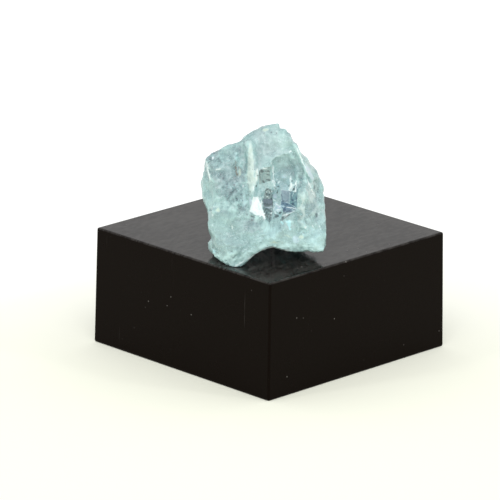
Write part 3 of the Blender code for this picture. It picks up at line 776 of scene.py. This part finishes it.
stoneLook = {
    "frostColor": (0.42, 0.67, 0.67),
    "milkColor": (0.51, 0.76, 0.74),
    "deepColor": (0.33, 0.56, 0.59),
    "glassWhite": 0.6,  # how much paler the stone is inside than on its frosted faces
    "absorbed": (0.55, 0.95, 0.97),
    "absorbing": 12.0,  # per metre
    "ior": 1.577,
    "frostRoughness": 0.24,
    "fleckRoughness": 0.3,
    "milkRoughness": 0.4,
    "coat": 0.7,
    "coatRoughness": 0.15,
    "clearRoughness": 0.05,
    "clearSpotRoughness": 0.1,  # more than on the facets
    "milkiness": 0.74,
    "milkInSwells": 0.5,  # how much milkier, here and below
    "milkInMottles": 1.1,
    "milkOnRidges": 0.4,
    "milkInHollows": -0.2,
    "calm": 0.17,  # share of the mottling that the smoother faces keep
    "mottling": 1.5,
    "flecking": 0.25,
    "cloudSpan": 0.35,  # from the stone's middle colour to its deepest and its milkiest
    "streakFineness": (500, 500, 3200),  # per metre along each axis
    "streakEdge": (0.52, 0.66),
    "streakWhitening": 0.3,
    "clearEdge": (0.52, 0.30),
    "clearSpots": 0.45,
    "reliefHeight": 0.00022,  # metres
    "reliefStrength": 0.6,
}

facetLook = {
    "cover": 0.9,  # how much of the stone's own colouring a facet's tone hides
    "milk": 0.30,
    "spotEdge": (0.56, 0.40),
    "spots": 0.5,
    "spotsHidden": 2.0,  # by the facet's painted glow
    "reliefHeight": 0.00010,
    "reliefStrength": 0.5,
}

# Patterns of the stone: how fine they are per mm, detail, then roughness and distortion where they matter.
stonePatterns = {
    "swell": (0.35, 2.0),
    "mottle": (1.3, 4.0, 0.62, 0.3),
    "fleck": (4.0, 2.0, 0.6),
}

# Where the surface is most mottled: right, up, half width, half height, turn, as for the marks.
mottled = [(-4.5, 7.8, 1.9, 2.6, 0), (-6.9, 11.0, 1.0, 1.6, 0)]
mottledEnds = (1.5, 0.6)


def aquamarinePaint():
    paint = Paint("aquamarine")
    black, white = opaque((0.0, 0.0, 0.0)), opaque((1.0, 1.0, 1.0))
    frostColor = opaque(stoneLook["frostColor"])
    milkColor = opaque(stoneLook["milkColor"])
    deepColor = opaque(stoneLook["deepColor"])
    toStone = (0, 0, -stone["turn"])
    place = paint.place(toStone, perMm)
    swell, mottle, fleck = (paint.noise(place, *pattern) for pattern in stonePatterns.values())
    streaks = paint.noise(paint.place(toStone, stoneLook["streakFineness"]), 1.0, 2.0)

    def laid(name, output):
        return paint.add("ShaderNodeAttribute", {"attribute_name": name}, {}, output)

    stainAndPaintedLight, cover, natureAndGlow = laid("stainAndPaintedLight", "Color"), laid("stainAndPaintedLight", "Alpha"), laid("natureAndGlow", "Vector")
    facet, rough, stands = (laid(name, "Fac") for name in ("facet", "rough", "stands"))
    clears, milks, paintedGlows = (paint.add("ShaderNodeSeparateXYZ", {}, {"Vector": natureAndGlow}, axis)
                             for axis in "XYZ")
    # whiter on ridges, for wear and a painted highlight; darker in hollows, painted shade
    ridge = paint.step(stands, 0.0, wornLook["ridge"], 0.0, wornLook["wearAndHighlight"]) * (1.0 - facet)
    hollow = paint.step(stands, 0.0, wornLook["hollow"], 0.0, wornLook["hollowShade"]) * (1.0 - facet)

    mottling = (mottle - 0.5) * rough
    cloud = swell - 0.5 + mottling * stoneLook["mottling"] + (fleck - 0.5) * stoneLook["flecking"]
    span = stoneLook["cloudSpan"]
    color = paint.blend(paint.step(cloud, -span, 0.0), deepColor, frostColor)
    color = paint.blend(paint.step(cloud, 0.0, span), color, milkColor)
    streaked = paint.step(streaks, *stoneLook["streakEdge"], 0.0, stoneLook["streakWhitening"])
    color = paint.blend(streaked, color, milkColor)
    color = paint.blend(ridge, color, milkColor)
    color = paint.blend(hollow, color, deepColor)
    inside = paint.blend(stoneLook["glassWhite"], color, white)
    spots = paint.step(fleck * 0.5 + mottle * 0.5, *facetLook["spotEdge"], 0.0, facetLook["spots"])
    spots = spots * facet * (1.0 - paintedGlows * facetLook["spotsHidden"])
    stainAndPaintedLight = paint.blend(spots, stainAndPaintedLight, deepColor, "MULTIPLY")
    color = paint.blend(cover, color, stainAndPaintedLight)
    inside = paint.blend(cover, inside, stainAndPaintedLight)

    clearSpots = paint.step(mottle * 0.6 + swell * 0.4, *stoneLook["clearEdge"], 0.0, stoneLook["clearSpots"])
    clearness = clearSpots * rough * (1.0 - facet) + clears
    milkiness = ((swell - 0.5) * stoneLook["milkInSwells"] + mottling * stoneLook["milkInMottles"]
                 + ridge * stoneLook["milkOnRidges"] + hollow * stoneLook["milkInHollows"] + milks
                 + stoneLook["milkiness"])
    relief = mottle * 0.5 + fleck * 0.5
    normal = paint.bump(relief, stoneLook["reliefHeight"], stoneLook["reliefStrength"])
    facetNormal = paint.bump(relief, facetLook["reliefHeight"], facetLook["reliefStrength"])

    frost = paint.add("ShaderNodeBsdfPrincipled", {}, {
        "Base Color": inside, "IOR": stoneLook["ior"], "Transmission Weight": 1.0, "Normal": normal,
        "Roughness": (fleck - 0.5) * stoneLook["fleckRoughness"] + stoneLook["frostRoughness"]})
    # The milky skin's emission is the painted glow laid on the mesh: painted light.
    milk = paint.add("ShaderNodeBsdfPrincipled", {}, {
        "Base Color": color, "IOR": stoneLook["ior"], "Normal": normal,
        "Roughness": stoneLook["milkRoughness"], "Coat Weight": stoneLook["coat"],
        "Coat Roughness": stoneLook["coatRoughness"], "Coat IOR": stoneLook["ior"],
        "Emission Color": paint.blend(paintedGlows, black, white), "Emission Strength": 1.0})
    clear = paint.add("ShaderNodeBsdfPrincipled", {}, {
        "Base Color": inside, "IOR": stoneLook["ior"], "Transmission Weight": 1.0, "Normal": facetNormal,
        "Roughness": (1.0 - facet) * stoneLook["clearSpotRoughness"] + stoneLook["clearRoughness"]})
    skin = paint.add("ShaderNodeMixShader", {}, {0: milkiness, 1: frost, 2: milk})
    surface = paint.add("ShaderNodeMixShader", {}, {0: clearness, 1: skin, 2: clear})
    volume = paint.add("ShaderNodeVolumeAbsorption", {}, {
        "Color": opaque(stoneLook["absorbed"]), "Density": stoneLook["absorbing"]})
    return paint.finish(surface, volume)


aquamarine = makeAquamarine()
aquamarine.data.materials.append(aquamarinePaint())
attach(aquamarine, "root")
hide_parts("aquamarine_crystal")
print("aquamarine triangles", sum(len(face.vertices) - 2 for face in aquamarine.data.polygons))
